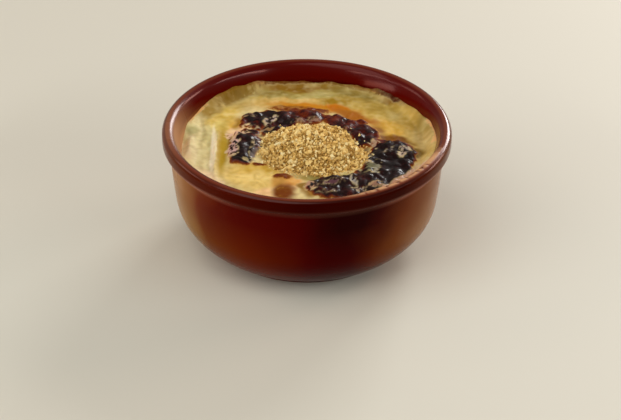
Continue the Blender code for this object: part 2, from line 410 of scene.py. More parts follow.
def keep_colours(mesh, name, colours):
    """Stores one colour for each point; points past the given ones get the last."""
    whole = np.tile(colours[-1], (len(mesh.vertices), 1))
    whole[: len(colours)] = colours
    flat = whole.astype(np.float32).ravel()
    mesh.attributes.new(name, "FLOAT_COLOR", "POINT").data.foreach_set("color", flat)


print("helpers ready")

# %% Build the turning tree and turn the bowl
def make_turning_tree():
    sockets = {
        "Steps round": ("NodeSocketInt", 256),
        "Wobble": ("NodeSocketFloat", 0.12 * MM),
        "Wobble length": ("NodeSocketFloat", 45 * MM),
        "Material": ("NodeSocketMaterial", None),
    }
    tree, given, result = new_geometry_tree("turn a profile", sockets)
    size = add(tree, "GeometryNodeAttributeDomainSize", {"Geometry": given["Geometry"]}, component="MESH")
    rows = size.outputs["Point Count"]
    columns = add(tree, "ShaderNodeMath", {0: given["Steps round"], 1: 1.0}, operation="ADD").outputs[0]
    grid = add(tree, "GeometryNodeMeshGrid", {"Vertices X": columns, "Vertices Y": rows})
    index = add(tree, "GeometryNodeInputIndex").outputs[0]
    row = add(tree, "ShaderNodeMath", {0: index, 1: rows}, operation="MODULO").outputs[0]
    share = add(tree, "ShaderNodeMath", {0: index, 1: rows}, operation="DIVIDE").outputs[0]
    column = add(tree, "ShaderNodeMath", {0: share}, operation="FLOOR").outputs[0]
    turn = add(tree, "ShaderNodeMath", {0: column, 1: given["Steps round"]}, operation="DIVIDE").outputs[0]
    angle = add(tree, "ShaderNodeMath", {0: turn, 1: math.tau}, operation="MULTIPLY").outputs[0]
    here = add(tree, "GeometryNodeInputPosition").outputs[0]
    sample = {"Geometry": given["Geometry"], "Value": here, "Index": row}
    point = add(tree, "GeometryNodeSampleIndex", sample, data_type="FLOAT_VECTOR").outputs[0]
    turned = {"Vector": point, "Axis": (0.0, 0.0, 1.0), "Angle": angle}
    placed = add(tree, "ShaderNodeVectorRotate", turned).outputs[0]
    # The wobble is the same on both faces of the wall, because it depends on the direction and height alone.
    scale = add(tree, "ShaderNodeMath", {0: 1.0, 1: given["Wobble length"]}, operation="DIVIDE").outputs[0]
    swell = add(tree, "ShaderNodeTexNoise", {"Vector": placed, "Scale": scale, "Detail": 0.0}).outputs["Fac"]
    centred = add(tree, "ShaderNodeMath", {0: swell, 1: 0.5}, operation="SUBTRACT").outputs[0]
    amount = add(tree, "ShaderNodeMath", {0: centred, 1: given["Wobble"]}, operation="MULTIPLY").outputs[0]
    flat = add(tree, "ShaderNodeVectorMath", {0: placed, 1: (1.0, 1.0, 0.0)}, operation="MULTIPLY").outputs[0]
    outwards = add(tree, "ShaderNodeVectorMath", {0: flat}, operation="NORMALIZE").outputs[0]
    push = add(tree, "ShaderNodeVectorMath", {0: outwards, "Scale": amount}, operation="SCALE").outputs[0]
    moved = {"Geometry": grid.outputs["Mesh"], "Position": placed, "Offset": push}
    surface = add(tree, "GeometryNodeSetPosition", moved).outputs[0]
    welded = {"Geometry": surface, "Distance": 0.001 * MM}
    welded = add(tree, "GeometryNodeMergeByDistance", welded).outputs[0]
    smooth = add(tree, "GeometryNodeSetShadeSmooth", {"Geometry": welded}).outputs[0]
    real = add(tree, "GeometryNodeRealizeInstances", {"Geometry": smooth}).outputs[0]
    painted = {"Geometry": real, "Material": given["Material"]}
    painted = add(tree, "GeometryNodeSetMaterial", painted).outputs[0]
    tree.links.new(painted, result["Geometry"])
    return tree


def make_bowl():
    points = [(r, 0.0, z) for r, z in bowl_profile]
    profile = mesh_of("bowl profile", points, edges=[(i, i + 1) for i in range(len(points) - 1)])
    guide = new_object("bowl_profile", profile)
    values = {"Steps round": 400, "Wobble": 0.12 * MM, "Wobble length": 45 * MM, "Material": wall_glaze}
    mesh = run_tree(guide, make_turning_tree(), values)
    bpy.data.objects.remove(guide)
    # The second glaze covers the inside and the lip, down to just over the lip's outer edge.
    mesh.materials.clear()
    mesh.materials.append(wall_glaze)
    mesh.materials.append(rim_glaze)
    for face in mesh.polygons:
        radius, z = face.center.xy.length / MM, face.center.z / MM
        face.material_index = int(z > BOWL_HEIGHT - 0.9 or radius < inner_radius(z) + 1.5)
    return new_object("glazed_bowl", mesh)


def face_outwards(obj):
    """Turns the faces of a closed mesh outwards, and says how many were turned."""
    shape = bmesh.new()
    shape.from_mesh(obj.data)
    before = [face.normal.copy() for face in shape.faces]
    bmesh.ops.recalc_face_normals(shape, faces=shape.faces)
    turned = sum(1 for old, face in zip(before, shape.faces) if old.dot(face.normal) < 0)
    shape.to_mesh(obj.data)
    volume = shape.calc_volume(signed=True) / MM**3 / 1000
    shape.free()
    print(f"{obj.name}: {len(obj.data.polygons)} faces, {turned} turned, volume {volume:.2f} cm3")


bowl = make_bowl()
face_outwards(bowl)

# %% [markdown]
# ## The pudding's surface as fields
#
# Milk skin bakes unevenly: it climbs the wall, folds where it slides, blisters over pockets of steam and
# turns from cream to gold, brown and black. Painting that by hand would be hard to repeat, so each effect
# is a field, a number at every point of the surface, made from a few named patches and some smooth noise.
# The heights and the colours both come from these fields, so a scorched patch is puffed up, blistered and
# dark in the same place.
#
# The surface is a square grid bent into a disc, which keeps its cells nearly equal from the middle to the
# wall. A polar grid would crowd them in the middle, under the nuts.

# %% Lay out the grid of the pudding's surface
SKIN_CELLS = 280
OVERLAP = 0.4


def disc_grid(cells):
    """The points of a square grid bent into a disc of radius 1, as arrays x and y."""
    across, along = np.meshgrid(np.linspace(-1, 1, cells + 1), np.linspace(-1, 1, cells + 1), indexing="ij")
    wide = np.abs(across) >= np.abs(along)
    longer = np.where(wide, across, along)
    shorter = np.where(wide, along, across)
    safe = np.where(longer == 0, 1.0, longer)
    slant = math.pi / 4 * shorter / safe
    x = longer * np.where(wide, np.cos(slant), np.sin(slant))
    y = longer * np.where(wide, np.sin(slant), np.cos(slant))
    return x.ravel(), y.ravel()


def grid_faces(cells):
    """The square faces of such a grid."""
    side = cells + 1
    corner = (np.arange(cells)[:, None] * side + np.arange(cells)).ravel()
    return np.stack([corner, corner + side, corner + side + 1, corner + 1], axis=1).tolist()


def grid_border(cells):
    """The indices of the grid's border points, in order round it."""
    side = cells + 1
    steps = np.arange(cells)
    return [
        *(steps * side),
        *(cells * side + steps),
        *((cells - steps) * side + cells),
        *(cells - steps),
    ]


share_x, share_y = disc_grid(SKIN_CELLS)
skin_radius = float(inner_radius(PUDDING_LEVEL)) + OVERLAP
skin_x = share_x * skin_radius
skin_y = share_y * skin_radius
print(len(skin_x), "points, about", round(2 * skin_radius / SKIN_CELLS, 2), "mm apart")

# %% [markdown]
# ## Fields, patches and noise
#
# A patch is an oval with a soft edge. Its edge is made ragged by bending the surface's coordinates with
# noise before the oval is measured. Noise here is Blender's own, so it is the same on each run: a seed is
# only the place in the noise that it is read from.

# %% Define the fields' building blocks
def ease(values):
    """A smooth step from 0 to 1."""
    values = np.clip(values, 0, 1)
    return values * values * (3 - 2 * values)


def rough(x, y, length, seed, octaves=1):
    """Smooth random heights, about -1 to 1, whose waves are length mm long. Each seed gives other waves."""
    points = zip((x / length).tolist(), (y / length).tolist())
    if octaves == 1:
        return np.array([noise.noise((a, b, seed)) for a, b in points]) * 1.6
    return np.array([noise.fractal((a, b, seed), 1.0, 2.0, octaves) for a, b in points]) * 1.2


def oval(x, y, middle, half_size, turn):
    """How far points are from an oval's middle, as shares of its half size: 1 on its edge."""
    angle = math.radians(turn)
    dx, dy = x - middle[0], y - middle[1]
    along = (dx * math.cos(angle) + dy * math.sin(angle)) / half_size[0]
    across = (dy * math.cos(angle) - dx * math.sin(angle)) / half_size[1]
    return np.hypot(along, across)


def patch_field(x, y, patches, column, soft):
    """The highest of the patches' values at each point. Each patch fades out over soft mm round its edge."""
    field = np.zeros_like(x)
    for middle_x, middle_y, half_length, half_width, turn, *values in patches.values():
        away = oval(x, y, (middle_x, middle_y), (half_length, half_width), turn)
        inside = ease(0.5 + (1 - away) * min(half_length, half_width) / soft)
        field = np.maximum(field, values[column] * inside)
    return field


def bumps(angle, table):
    """The sum of smooth bumps round the wall: name to (direction, half width in degrees, height in mm)."""
    total = np.zeros_like(angle)
    for direction, half_width, height in table.values():
        away = np.abs((np.degrees(angle) - direction + 180) % 360 - 180)
        total += height * ease(1 - away / half_width)
    return total


def lay_tones(colours, x, y, tones):
    """Lays each tone over the colours, which are linear RGBA, one for each point."""
    for middle_x, middle_y, half_length, half_width, turn, soft, hex_value in tones.values():
        away = oval(x, y, (middle_x, middle_y), (half_length, half_width), turn)
        share = ease(0.5 + (1 - away) * min(half_length, half_width) / soft)[:, None]
        colours = colours * (1 - share) + np.array(colour(hex_value)) * share
    return colours


def mottle(colours, field, light, dark):
    """Shifts colours towards a light one where the field is positive and a dark one where it is negative."""
    lighter = np.clip(field, 0, 1)[:, None]
    darker = np.clip(-field, 0, 1)[:, None]
    colours = colours * (1 - lighter) + np.array(colour(light)) * lighter
    return colours * (1 - darker) + np.array(colour(dark)) * darker


print("a step eased at a quarter:", float(ease(np.array([0.25]))[0]))

# %% [markdown]
# ## Scorched patches
#
# Where the grill's heat is strongest, round the middle, steam lifts the skin and its sugar burns. Each
# patch says how far the skin is puffed up, and how far it is toasted: about 0.3 is gold, 0.5 amber, 0.7
# red-brown and 1 black.

# %% Puff up and toast the skin
# Middle x and y, half length and half width (mm), turn of the length from +X (degrees), puff (mm), toasting.
SCORCHED = {
    "back left": (-17, 21.0, 10.0, 6.4, 8, 1.2, 0.93),
    "back left corner": (-23.5, 16, 4.5, 5.5, 60, 0.8, 0.80),
    "behind the heap": (-12, 14, 9, 5, 35, 0.4, 0.88),
    "back middle": (-3, 22.0, 11.5, 6.5, -4, 1.0, 0.74),
    "back edge": (-2, 28.8, 14, 2.8, -4, 0.3, 0.53),
    "back right": (15.5, 15.5, 12, 5.4, -42, 1.1, 0.74),
    "back right end": (24.5, 7.5, 8, 6.2, -60, 1.0, 0.82),
    "right top": (35.5, -1, 9.0, 4.6, -14, 1.1, 0.70),
    "right": (35.5, -10, 10.5, 11.5, 10, 1.3, 0.98),
    "right edge": (42, -12, 3.2, 6.5, 0, 0.9, 0.70),
    "right low": (32, -22, 12.5, 10.5, 45, 1.2, 0.92),
    "right foot": (38, -24, 8, 4.5, 50, 0.8, 0.76),
    "front right": (23, -33, 11.5, 9.5, 20, 1.3, 0.90),
    "front": (12, -34, 11.5, 8.5, 4, 1.2, 0.88),
    "left": (-26.4, -4.8, 12.6, 6.0, 86, 1.2, 0.95),
    "left top": (-25, 7, 5.0, 4.4, 40, 0.7, 0.84),
    "left inner": (-20.5, -1, 7, 3.4, 85, 0.4, 0.8),
    "left low": (-20, -16.5, 3.0, 1.2, -20, 0.2, 0.7),
    "front left small": (-10.0, -26.2, 4.6, 2.2, 0, 0.3, 0.66),
    "front spot": (-9.0, -37, 4.0, 5.0, 0, 0.4, 0.12),
    "back right corner": (22.5, 17.2, 3.6, 2.6, -40, 0.7, 0.68),
    "back edge left": (-5.5, 29.8, 5, 2.2, 2, 0.2, 0.58),
    "beside the heap": (24.0, 0.8, 5.0, 3.8, 70, 0.5, 0.90),
}

bend_x = skin_x + 1.4 * rough(skin_x, skin_y, 7.0, 1.3) + 0.5 * rough(skin_x, skin_y, 2.6, 2.7)
bend_y = skin_y + 1.4 * rough(skin_x, skin_y, 7.0, 5.9) + 0.5 * rough(skin_x, skin_y, 2.6, 8.1)
toast = patch_field(bend_x, bend_y, SCORCHED, 1, 2.6)
puff = patch_field(bend_x, bend_y, SCORCHED, 0, 5.0)
print("share of the skin that is scorched:", round(float((toast > 0.6).mean()), 2))

# %% [markdown]
# ## The skin's colours, with some painted shade and highlights
#
# Between the scorched patches the skin runs from cream to gold and olive, and caramel has bled from the
# burnt parts into the skin behind them. The colours are laid over each other as a painter's washes are:
# the broad tones, two sizes of mottling, the stains, and last the painted shade and highlight of the fold on the
# left, which runs too straight to be bent with the rest.

# %% Colour the skin
# How the skin's colour changes from place to place, with a painted highlight on one left streak, laid over
# each other in this order: middle x and y, half length and half width (mm), turn (degrees), width of the soft
# edge (mm), colour.
TONES = {
    "back": (0, 44, 46, 12, 0, 10, "b8a050"),
    "back left edge": (-34, 40, 12, 4.0, 42, 3, "7c5c14"),
    "back right edge": (38, 35, 14, 3, -48, 3, "80601c"),
    "back cream": (-8, 35, 17, 5.0, 4, 6, "dcb464"),
    "back pale": (0, 41.5, 17, 2.4, 0, 2, "c0b068"),
    "back edge": (-4, 50, 30, 4.6, 0, 3, "946c26"),
    "right": (38, 14, 34, 15, -62, 10, "d4ac54"),
    "back right": (30, 32, 16, 7, -38, 7, "ccac56"),
    "back right dip": (12, 36, 4.5, 2.4, -10, 3, "a07c1c"),
    "right gold": (35, 13, 9, 4.5, -48, 5, "e0b04a"),
    "right far": (49, 4, 12, 4.0, 92, 4, "ccac68"),
    "left ring": (-45, -2, 34, 8.5, 90, 5, "ecdca2"),
    "left streak": (-41.6, 7, 13, 2.2, 90, 3, "cabc80"),
    # A painted highlight along the crest of one streak.
    "left streak, painted highlight": (-47.6, -3, 16, 2.2, 92, 2, "f4e2ae"),
    "left foot": (-42, -27, 11, 4.6, -52, 4, "ffdcb0"),
    "left back": (-36, 24, 10, 6, 60, 6, "dcba58"),
    "left middle": (-30.5, 15.5, 6, 5, 45, 5, "deb04a"),
    "tan bump": (-29.8, 10.2, 4.8, 3.8, 70, 2, "f4cc98"),
    "front left": (-22, -26, 15, 9, -32, 6, "ecca74"),
    "front left gold": (-20, -20, 9, 4, -10, 5, "d4aa44"),
    "front peach": (-17, -38, 14, 4.0, 24, 4, "fcca90"),
    "front orange": (-6, -29.5, 4.5, 3.6, 20, 3, "e4a04c"),
    "front green": (8, -25.2, 12, 3.2, 0, 2, "988a4c"),
    "fold top": (-36.4, 14, 6, 3, 90, 3, "e4cc74"),
    "left back edge": (-41.5, 28, 8, 4, 58, 4, "a4843a"),
    "back green left": (-15, 42.5, 8, 3.2, 0, 3, "9c8844"),
    "back green right": (21, 43.5, 13, 3.6, -24, 4, "a08a46"),
    "back right corner": (37, 36, 6, 3.0, -45, 3, "80581a"),
    "right far olive": (48.5, 15, 6, 3.0, 105, 3, "a88c46"),
    "left ring olive": (-48, 12, 3.4, 2.4, 90, 3, "c4bc80"),
}
# Stronger stains, laid on after the skin is mottled.
STAINS = {
    "amber edge": (3, 31.5, 18, 3.2, -8, 2.5, "c88018"),
    "brown back": (-5, 30.2, 9, 2.4, -4, 1.6, "682a00"),
    "orange spot": (13.5, 30.8, 4.4, 3.0, -25, 2.4, "cc7400"),
    "amber right": (20.5, 24.0, 11, 3.2, -40, 3, "a8641a"),
    "brown edge": (36.5, 4.5, 7.4, 4.0, -18, 3, "7c4c10"),
    "left brown": (-32.6, 3, 5, 1.4, 86, 1.6, "7c4c1c"),
    "left corner brown": (-29.4, 18.5, 4, 1.8, 80, 2.5, "b08434"),
    "right brown": (30.0, 12.5, 3.6, 1.8, -55, 2.5, "946428"),
    "front brown": (1.8, -36.8, 3.4, 3.0, 0, 4, "9c7434"),
    "front orange brown": (-11.5, -29.5, 3.6, 3.4, 0, 4, "cc9648"),
    "right inner": (23.6, -2, 5, 1.6, 90, 1.6, "8a7048"),
    "front spot": (-9.2, -36.4, 4.4, 5.4, 0, 4, "743806"),
    "right, by the wall": (45, -6.5, 3.4, 3.8, 0, 2, "80601e"),
    "front olive": (-1.0, -33.0, 3.0, 2.4, 0, 2, "947030"),
}
# The fold on the left, which runs nearly straight: painted shade on its shaded side, then a painted highlight on
# its crest.
FOLD_SHADE_AND_HIGHLIGHT = {
    "fold, painted shade": (-35.2, -4, 19, 2.4, 90, 2.2, "b08e24"),
    "fold crest, painted highlight": (-38.8, -5, 18, 1.1, 90, 0.8, "fff0c8"),
}

cream = np.tile(colour("dcc68a"), (len(skin_x), 1))
skin_colours = lay_tones(cream, bend_x, bend_y, TONES)
skin_colours = mottle(skin_colours, 0.30 * rough(skin_x, skin_y * 0.8, 5.0, 12.4), "f2dc96", "98740c")
skin_colours = mottle(skin_colours, 0.22 * rough(skin_x, skin_y, 2.2, 15.8), "f4e2a4", "8a6206")
skin_colours = lay_tones(skin_colours, bend_x, bend_y, STAINS)
# Last, the fold's painted shade and painted highlight.
skin_colours = lay_tones(skin_colours, 0.7 * skin_x + 0.3 * bend_x, skin_y, FOLD_SHADE_AND_HIGHLIGHT)
print(len(TONES), "tones and", len(STAINS) + len(FOLD_SHADE_AND_HIGHLIGHT), "stains on", len(skin_colours), "points")

# %% [markdown]
# ## Torn skin, painted glints and the edge
#
# Shreds of paler skin lie on the scorched patches, where blisters burst; the grey and lilac ones are painted
# glints, highlights painted into the colour. At the wall the skin is dried, brown or crusted in lengths of its
# edge, each with its own colour. Both are kept as one layer of colours, whose alpha says how much of it covers
# the skin below.

# %% Lay the torn skin, the painted glints and the edge
# Torn skin and painted glints that lie pale on the scorched patches: middle, half sizes and turn as above,
# amount, colour.
TORN_AND_GLINTS = {
    "left outside": (-30.9, -3.0, 7.2, 2.6, 86, 1.5, "d8b0a4"),
    "left top": (-29.8, 6.6, 4.4, 2.8, 15, 1.2, "e6bc9c"),
    "left inside": (-21.5, -7, 4.5, 2.2, 80, 0.7, "645c58"),
    "left foot": (-23.5, -13, 3.6, 2.2, -10, 0.7, "a89c70"),
    "left behind": (-18.5, 7.0, 4.0, 2.4, 60, 0.6, "84704c"),
    "back left": (-15.0, 18.6, 3.4, 2.2, 60, 1.15, "b8a49c"),
    "back left corner": (-24, 21.5, 2.6, 1.6, 0, 0.6, "8c6c54"),
    "back middle": (-3.5, 17.5, 3.2, 1.5, 0, 0.5, "8c6c58"),
    "back right": (17.5, 11.5, 2.2, 1.4, -40, 0.5, "8c5c4c"),
    "right corner": (28.0, -1.5, 2.8, 1.8, 60, 1.0, "b8987c"),
    "right top": (33.5, -6.5, 2.4, 1.2, 40, 0.45, "8c8088"),
    "right edge": (39.8, -7.8, 4.4, 2.6, 60, 1.2, "b4a08c"),
    "right low": (27.8, -20.6, 4.2, 1.5, 70, 0.9, "a09c88"),
    "right inside": (24.6, -20.0, 4.0, 1.7, 25, 0.6, "787858"),
    "front right": (19.5, -31, 3.4, 1.4, -60, 0.8, "a09c98"),
    "front right low": (22, -37, 3.4, 1.6, 10, 0.75, "a08c78"),
    "front": (10.5, -32, 3.6, 1.6, 10, 0.7, "644048"),
    "front left": (2.4, -33.2, 2.8, 2.0, 40, 1.0, "cca080"),
    "front low": (8, -38.5, 4.0, 1.2, 0, 0.4, "806450"),
    "right of the heap": (26.0, -12.5, 4.5, 1.8, 80, 0.7, "b4a888"),
    "right of the heap, pale": (24.8, -13.6, 4.0, 2.2, 84, 1.3, "dccaa8"),
    "between the left patches": (-19.8, 12.0, 3.4, 1.7, 0, 0.8, "a08868"),
    "left top, behind": (-28.2, 11.4, 3.4, 2.2, 20, 1.3, "f0c898"),
    "behind the heap, left": (-15.5, 11.2, 2.6, 1.6, 20, 0.7, "947040"),
    "back middle, right": (2.4, 18.6, 3.0, 1.6, 0, 0.5, "94705c"),
    "left inside, behind": (-21.4, -1.6, 3.0, 1.8, 80, 0.8, "948480"),
    "front right, at the wall": (28.4, -33.6, 3.0, 1.5, 45, 0.7, "a07860"),
}
# Where the skin meets the wall: direction and half width (degrees), inner radius and softness (mm), strength and
# colour.
EDGES = {
    "front right crust": (-41, 40, 47.2, 1.4, 0.95, "d0a488"),
    "right line": (8, 20, 52.1, 0.5, 0.9, "eeb070"),
    "back right lumps": (47, 15, 51.0, 1.0, 0.95, "4c1e08"),
    "back left smudge": (128, 22, 46.5, 4.0, 0.8, "84621a"),
    "back left line": (152, 16, 51.6, 0.5, 0.9, "e8b068"),
    "back brown": (92, 40, 51.2, 1.0, 0.9, "70420e"),
    "front left line": (232, 26, 50.4, 1.4, 0.95, "fcd2aa"),
    "front": (272, 24, 50.0, 0.9, 0.85, "84461e"),
    "back right brown": (66, 20, 50.4, 1.2, 0.7, "846028"),
    "left, pale": (184, 16, 48.0, 1.6, 0.7, "ecd0a0"),
}

torn_and_glints = patch_field(bend_x, bend_y, {name: place[:6] for name, place in TORN_AND_GLINTS.items()}, 0, 2.2)
torn_and_glint_tones = {name: (*place[:5], 2, place[6]) for name, place in TORN_AND_GLINTS.items()}
overlay_colours = lay_tones(cream, bend_x, bend_y, torn_and_glint_tones)
shreds = rough(skin_x, skin_y, 1.7, 21.7) + 0.6 * rough(skin_x, skin_y, 0.8, 3.2)
overlay_colours[:, 3] = np.clip(ease(torn_and_glints * (0.9 + 1.8 * shreds)), 0, 0.88)
angle_here = np.arctan2(skin_y, skin_x)
radius_here = np.hypot(skin_x, skin_y)
ragged = 0.5 * rough(20 * np.cos(angle_here), 20 * np.sin(angle_here), 3.0, 4.1)
along_wall = 50 * angle_here
streaky = rough(along_wall, radius_here * 0.3, 3.6, 6.6)
streaky += 0.5 * rough(along_wall, radius_here * 0.6, 1.4, 7.7)
for direction, half_width, inner, soft, strength, hex_value in EDGES.values():
    share = ease(1.3 * bumps(angle_here, {"": (direction, half_width, 1.0)}) * (1 + 0.4 * shreds))
    share *= ease(0.5 + (radius_here + 1.4 * ragged + 0.3 * shreds - inner) / soft)
    edge_colours = mottle(np.tile(colour(hex_value), (len(skin_x), 1)), 0.12 * streaky, "e0c890", "4c2c0c")
    blend = share[:, None]
    overlay_colours[:, :3] = overlay_colours[:, :3] * (1 - blend) + edge_colours[:, :3] * blend
    overlay_colours[:, 3] = np.maximum(overlay_colours[:, 3], strength * share)
print("share of the skin under torn skin or crust:", round(float((overlay_colours[:, 3] > 0.3).mean()), 2))

# %% [markdown]
# ## Blisters and rice grains
#
# Scorched skin is covered with blisters, and on the pale skin the grains of rice underneath show as long
# low lumps. Both are domes, scattered by a seeded generator: each try at a place is kept as often as a
# field says.

# %% Define the domes
def domes(x, y, places):
    """The height of many oval domes at once: each place is (x, y, half length, half width, turn, height)."""
    field = np.zeros_like(x)
    for middle_x, middle_y, half_length, half_width, turn, height in places:
        near = np.flatnonzero(np.abs(x - middle_x) + np.abs(y - middle_y) < 1.5 * half_length)
        away = oval(x[near], y[near], (middle_x, middle_y), (half_length, half_width), turn)
        field[near] = np.maximum(field[near], height * np.sqrt(np.clip(1 - away**2, 0, 1)))
    return field


def scatter(count, seed, keep, make):
    """Random places on the skin: keep gives the chance of a place there, from 0 to 1, and make its dome."""
    draw = random.Random(seed)
    places = []
    while len(places) < count:
        angle, radius = draw.uniform(0, math.tau), skin_radius * math.sqrt(draw.random())
        x, y = radius * math.cos(angle), radius * math.sin(angle)
        if draw.random() < keep(x, y):
            places.append((x, y, *make(draw)))
    return places


def blister(draw):
    size = draw.uniform(1.6, 4.6)
    return (size, size * draw.uniform(0.5, 0.9), draw.gauss(70, 50), size * draw.uniform(0.16, 0.30))


def rice_grain(draw):
    return (draw.uniform(2.4, 3.2), draw.uniform(0.8, 1.1), draw.gauss(80, 35), draw.uniform(0.2, 0.4))


def chance_of(patches, column):
    return lambda x, y: float(patch_field(np.array([x]), np.array([y]), patches, column, 3.0)[0])


def soften(field, times):
    """Rounds a field off by averaging each point with its four neighbours on the grid."""
    grid = field.reshape(SKIN_CELLS + 1, SKIN_CELLS + 1)
    for _ in range(times):
        wide = np.pad(grid, 1, mode="edge")
        grid = (2 * grid + wide[2:, 1:-1] + wide[:-2, 1:-1] + wide[1:-1, 2:] + wide[1:-1, :-2]) / 6
    return grid.ravel()


blisters = scatter(110, 11, chance_of(SCORCHED, 1), blister)
grains = scatter(90, 29, lambda x, y: 1.0, rice_grain)
print(len(blisters), "blisters and", len(grains), "grains")

# %% [markdown]
# ## Where the heap lies
#
# The heap of nuts was spooned on by hand, so its outline bulges and draws in. The outline is a rule that
# the skin and the heap share: the skin is pressed nearly flat under it, and the heap's core is shaped to
# it later.

# %% Outline the heap
HEAP_LOBES = {
    "right": (336, 32, 2.4),
    "back right": (23, 36, -4.4),
    "back": (92, 34, -2.0),
    "back left": (130, 28, -1.0),
    "left": (190, 26, 0.8),
    "front": (262, 36, -1.8),
}


def heap_outline(angle):
    """How far the heap reaches from its middle in each direction."""
    ragged_edge = 1.1 * rough(7 * np.cos(angle), 7 * np.sin(angle), 4.0, 7.1)
    return HEAP_RADIUS + 0.3 + bumps(angle, HEAP_LOBES) + ragged_edge


from_heap = np.hypot(skin_x - HEAP_X, skin_y - HEAP_Y)
from_heap -= heap_outline(np.arctan2(skin_y - HEAP_Y, skin_x - HEAP_X))
print("share of the skin under the heap:", round(float((from_heap < 0).mean()), 2))

# %% [markdown]
# ## The heights
#
# The skin climbs the wall a little, more on the right and at the back left. On the left it has slid into a
# straight fold, with a sunken, paler strip behind it. At the front right it is caught up in a lumpy crust.
# Creases come from noise folded at zero, which leaves sharp valleys, and noise stretched one way makes the
# fine streaks.

# %% Work out the heights
CLIMBS = {
    "back left": (126, 30, 2.4),
    "back right": (40, 36, 0.9),
    "right": (2, 42, 3.3),
    "front right": (-34, 34, 2.6),
    "left": (182, 24, -2.2),
    "front": (266, 34, -1.1),
}
CLIMB_WIDTH = 4.5
FOLD_X = -37.5
FOLD_Y = -7.0
FOLD_HALF_LENGTH = 23.0

crust = ease(1.5 * bumps(angle_here, {"front right": (-32, 34, 1.0)})) * ease((radius_here - 46.5) / 2.0)
crust_lumps = 0.8 * np.abs(rough(skin_x, skin_y, 1.9, 44.1)) + 0.4 * rough(skin_x, skin_y, 1.1, 45.2)
at_wall = ease(1 - (skin_radius - OVERLAP - radius_here) / CLIMB_WIDTH) ** 1.5
climb = (1.0 + ragged + bumps(angle_here, CLIMBS)) * at_wall
reach = ease(2 * (1 - np.abs(skin_y - FOLD_Y) / FOLD_HALF_LENGTH))
fold_line = FOLD_X + 0.5 * rough(skin_y, skin_y, 9.0, 3.3)
fold_crest = np.exp(-(((skin_x - fold_line) / 0.9) ** 2))
fold = reach * (1.3 * fold_crest - 0.5 * ease((fold_line - skin_x) / 4.0))
creases = np.abs(rough(bend_x, bend_y * 0.8, 4.5, 6.4))
ring = patch_field(bend_x, bend_y, {"left ring": (-45, 4, 22, 9, 90, 1.0)}, 0, 6.0)
lean = 2.0 * rough(skin_x, skin_y, 9.0, 17.3)
streaks = 1 - np.abs(rough(skin_x + lean, skin_y * 0.2, 4.8, 9.2)) * 1.6
streaks += 0.3 * rough(skin_x + lean, skin_y * 0.3, 1.9, 3.9)
back_angle = np.degrees(angle_here) - 90
back = ease((radius_here - 30) / 10) * ease(1.5 - np.abs(back_angle) / 60)
waves = 1 - np.abs(rough(back_angle * 0.25, radius_here + lean, 3.2, 14.2)) * 1.6
BROWN_EDGE = {"back right": (54, 28, 0.85), "back left": (124, 26, 0.65), "right": (12, 24, 0.35)}
rim_share = ease(1 - (skin_radius - radius_here - 0.4 - 1.2 * np.abs(ragged)) / 1.6)
brown = bumps(angle_here, BROWN_EDGE) * (0.75 + 0.5 * ragged)
toast = np.maximum(toast, rim_share * brown)
height = 0.3 * rough(skin_x, skin_y, 14.0, 0.4) + climb + fold + puff
height += domes(skin_x, skin_y, blisters) * ease(toast / 0.6)
height += domes(skin_x, skin_y, grains) * (1 - ease(toast / 0.5))
height += 1.2 * creases * ease((toast - 0.3) / 0.4) + 0.5 * streaks * ring + 0.25 * waves * back
height = soften(height, 3) + crust * crust_lumps - 0.8 * ease((-skin_y - 28) / 10)
height += 0.05 * rough(skin_x, skin_y, 1.6, 4.8, octaves=2)
height = height * (0.15 + 0.85 * ease(1 + from_heap / 3.0))
print(f"the skin lies between {height.min():.2f} and {height.max():.2f} mm of the pudding's level")

# %% [markdown]
# ## The milk crust on the bowl, and painted sheen
#
# In the oven the milk boiled up the wall and dried there. On the left it is a smooth film, which is also a
# painted reflection of the pudding in the wall and, on the crest, a broad painted highlight. At the front right
# it is a broken, lumpy crust on the lip, whose pale colour is partly a painted highlight. It is too thin to be a
# solid of its own, so it is a field on the bowl's points, which the glaze's material reads, and the lumps are
# the same points pushed out a little. A second field tells the outside of the bowl from the inside, which a
# height alone can't do.

# %% Lay the milk crust and the painted sheen on the bowl
# Direction and half width (degrees) and strength round the bowl. The left film is partly painted reflection of
# the pudding and, on the crest, painted highlight; the crust is partly painted highlight.
FILM_AND_SHEEN = {"left wall": (184, 34, 0.6), "right wall": (-4, 22, 0.14)}
CRUST = {"front right": (-45, 38, 1.0)}


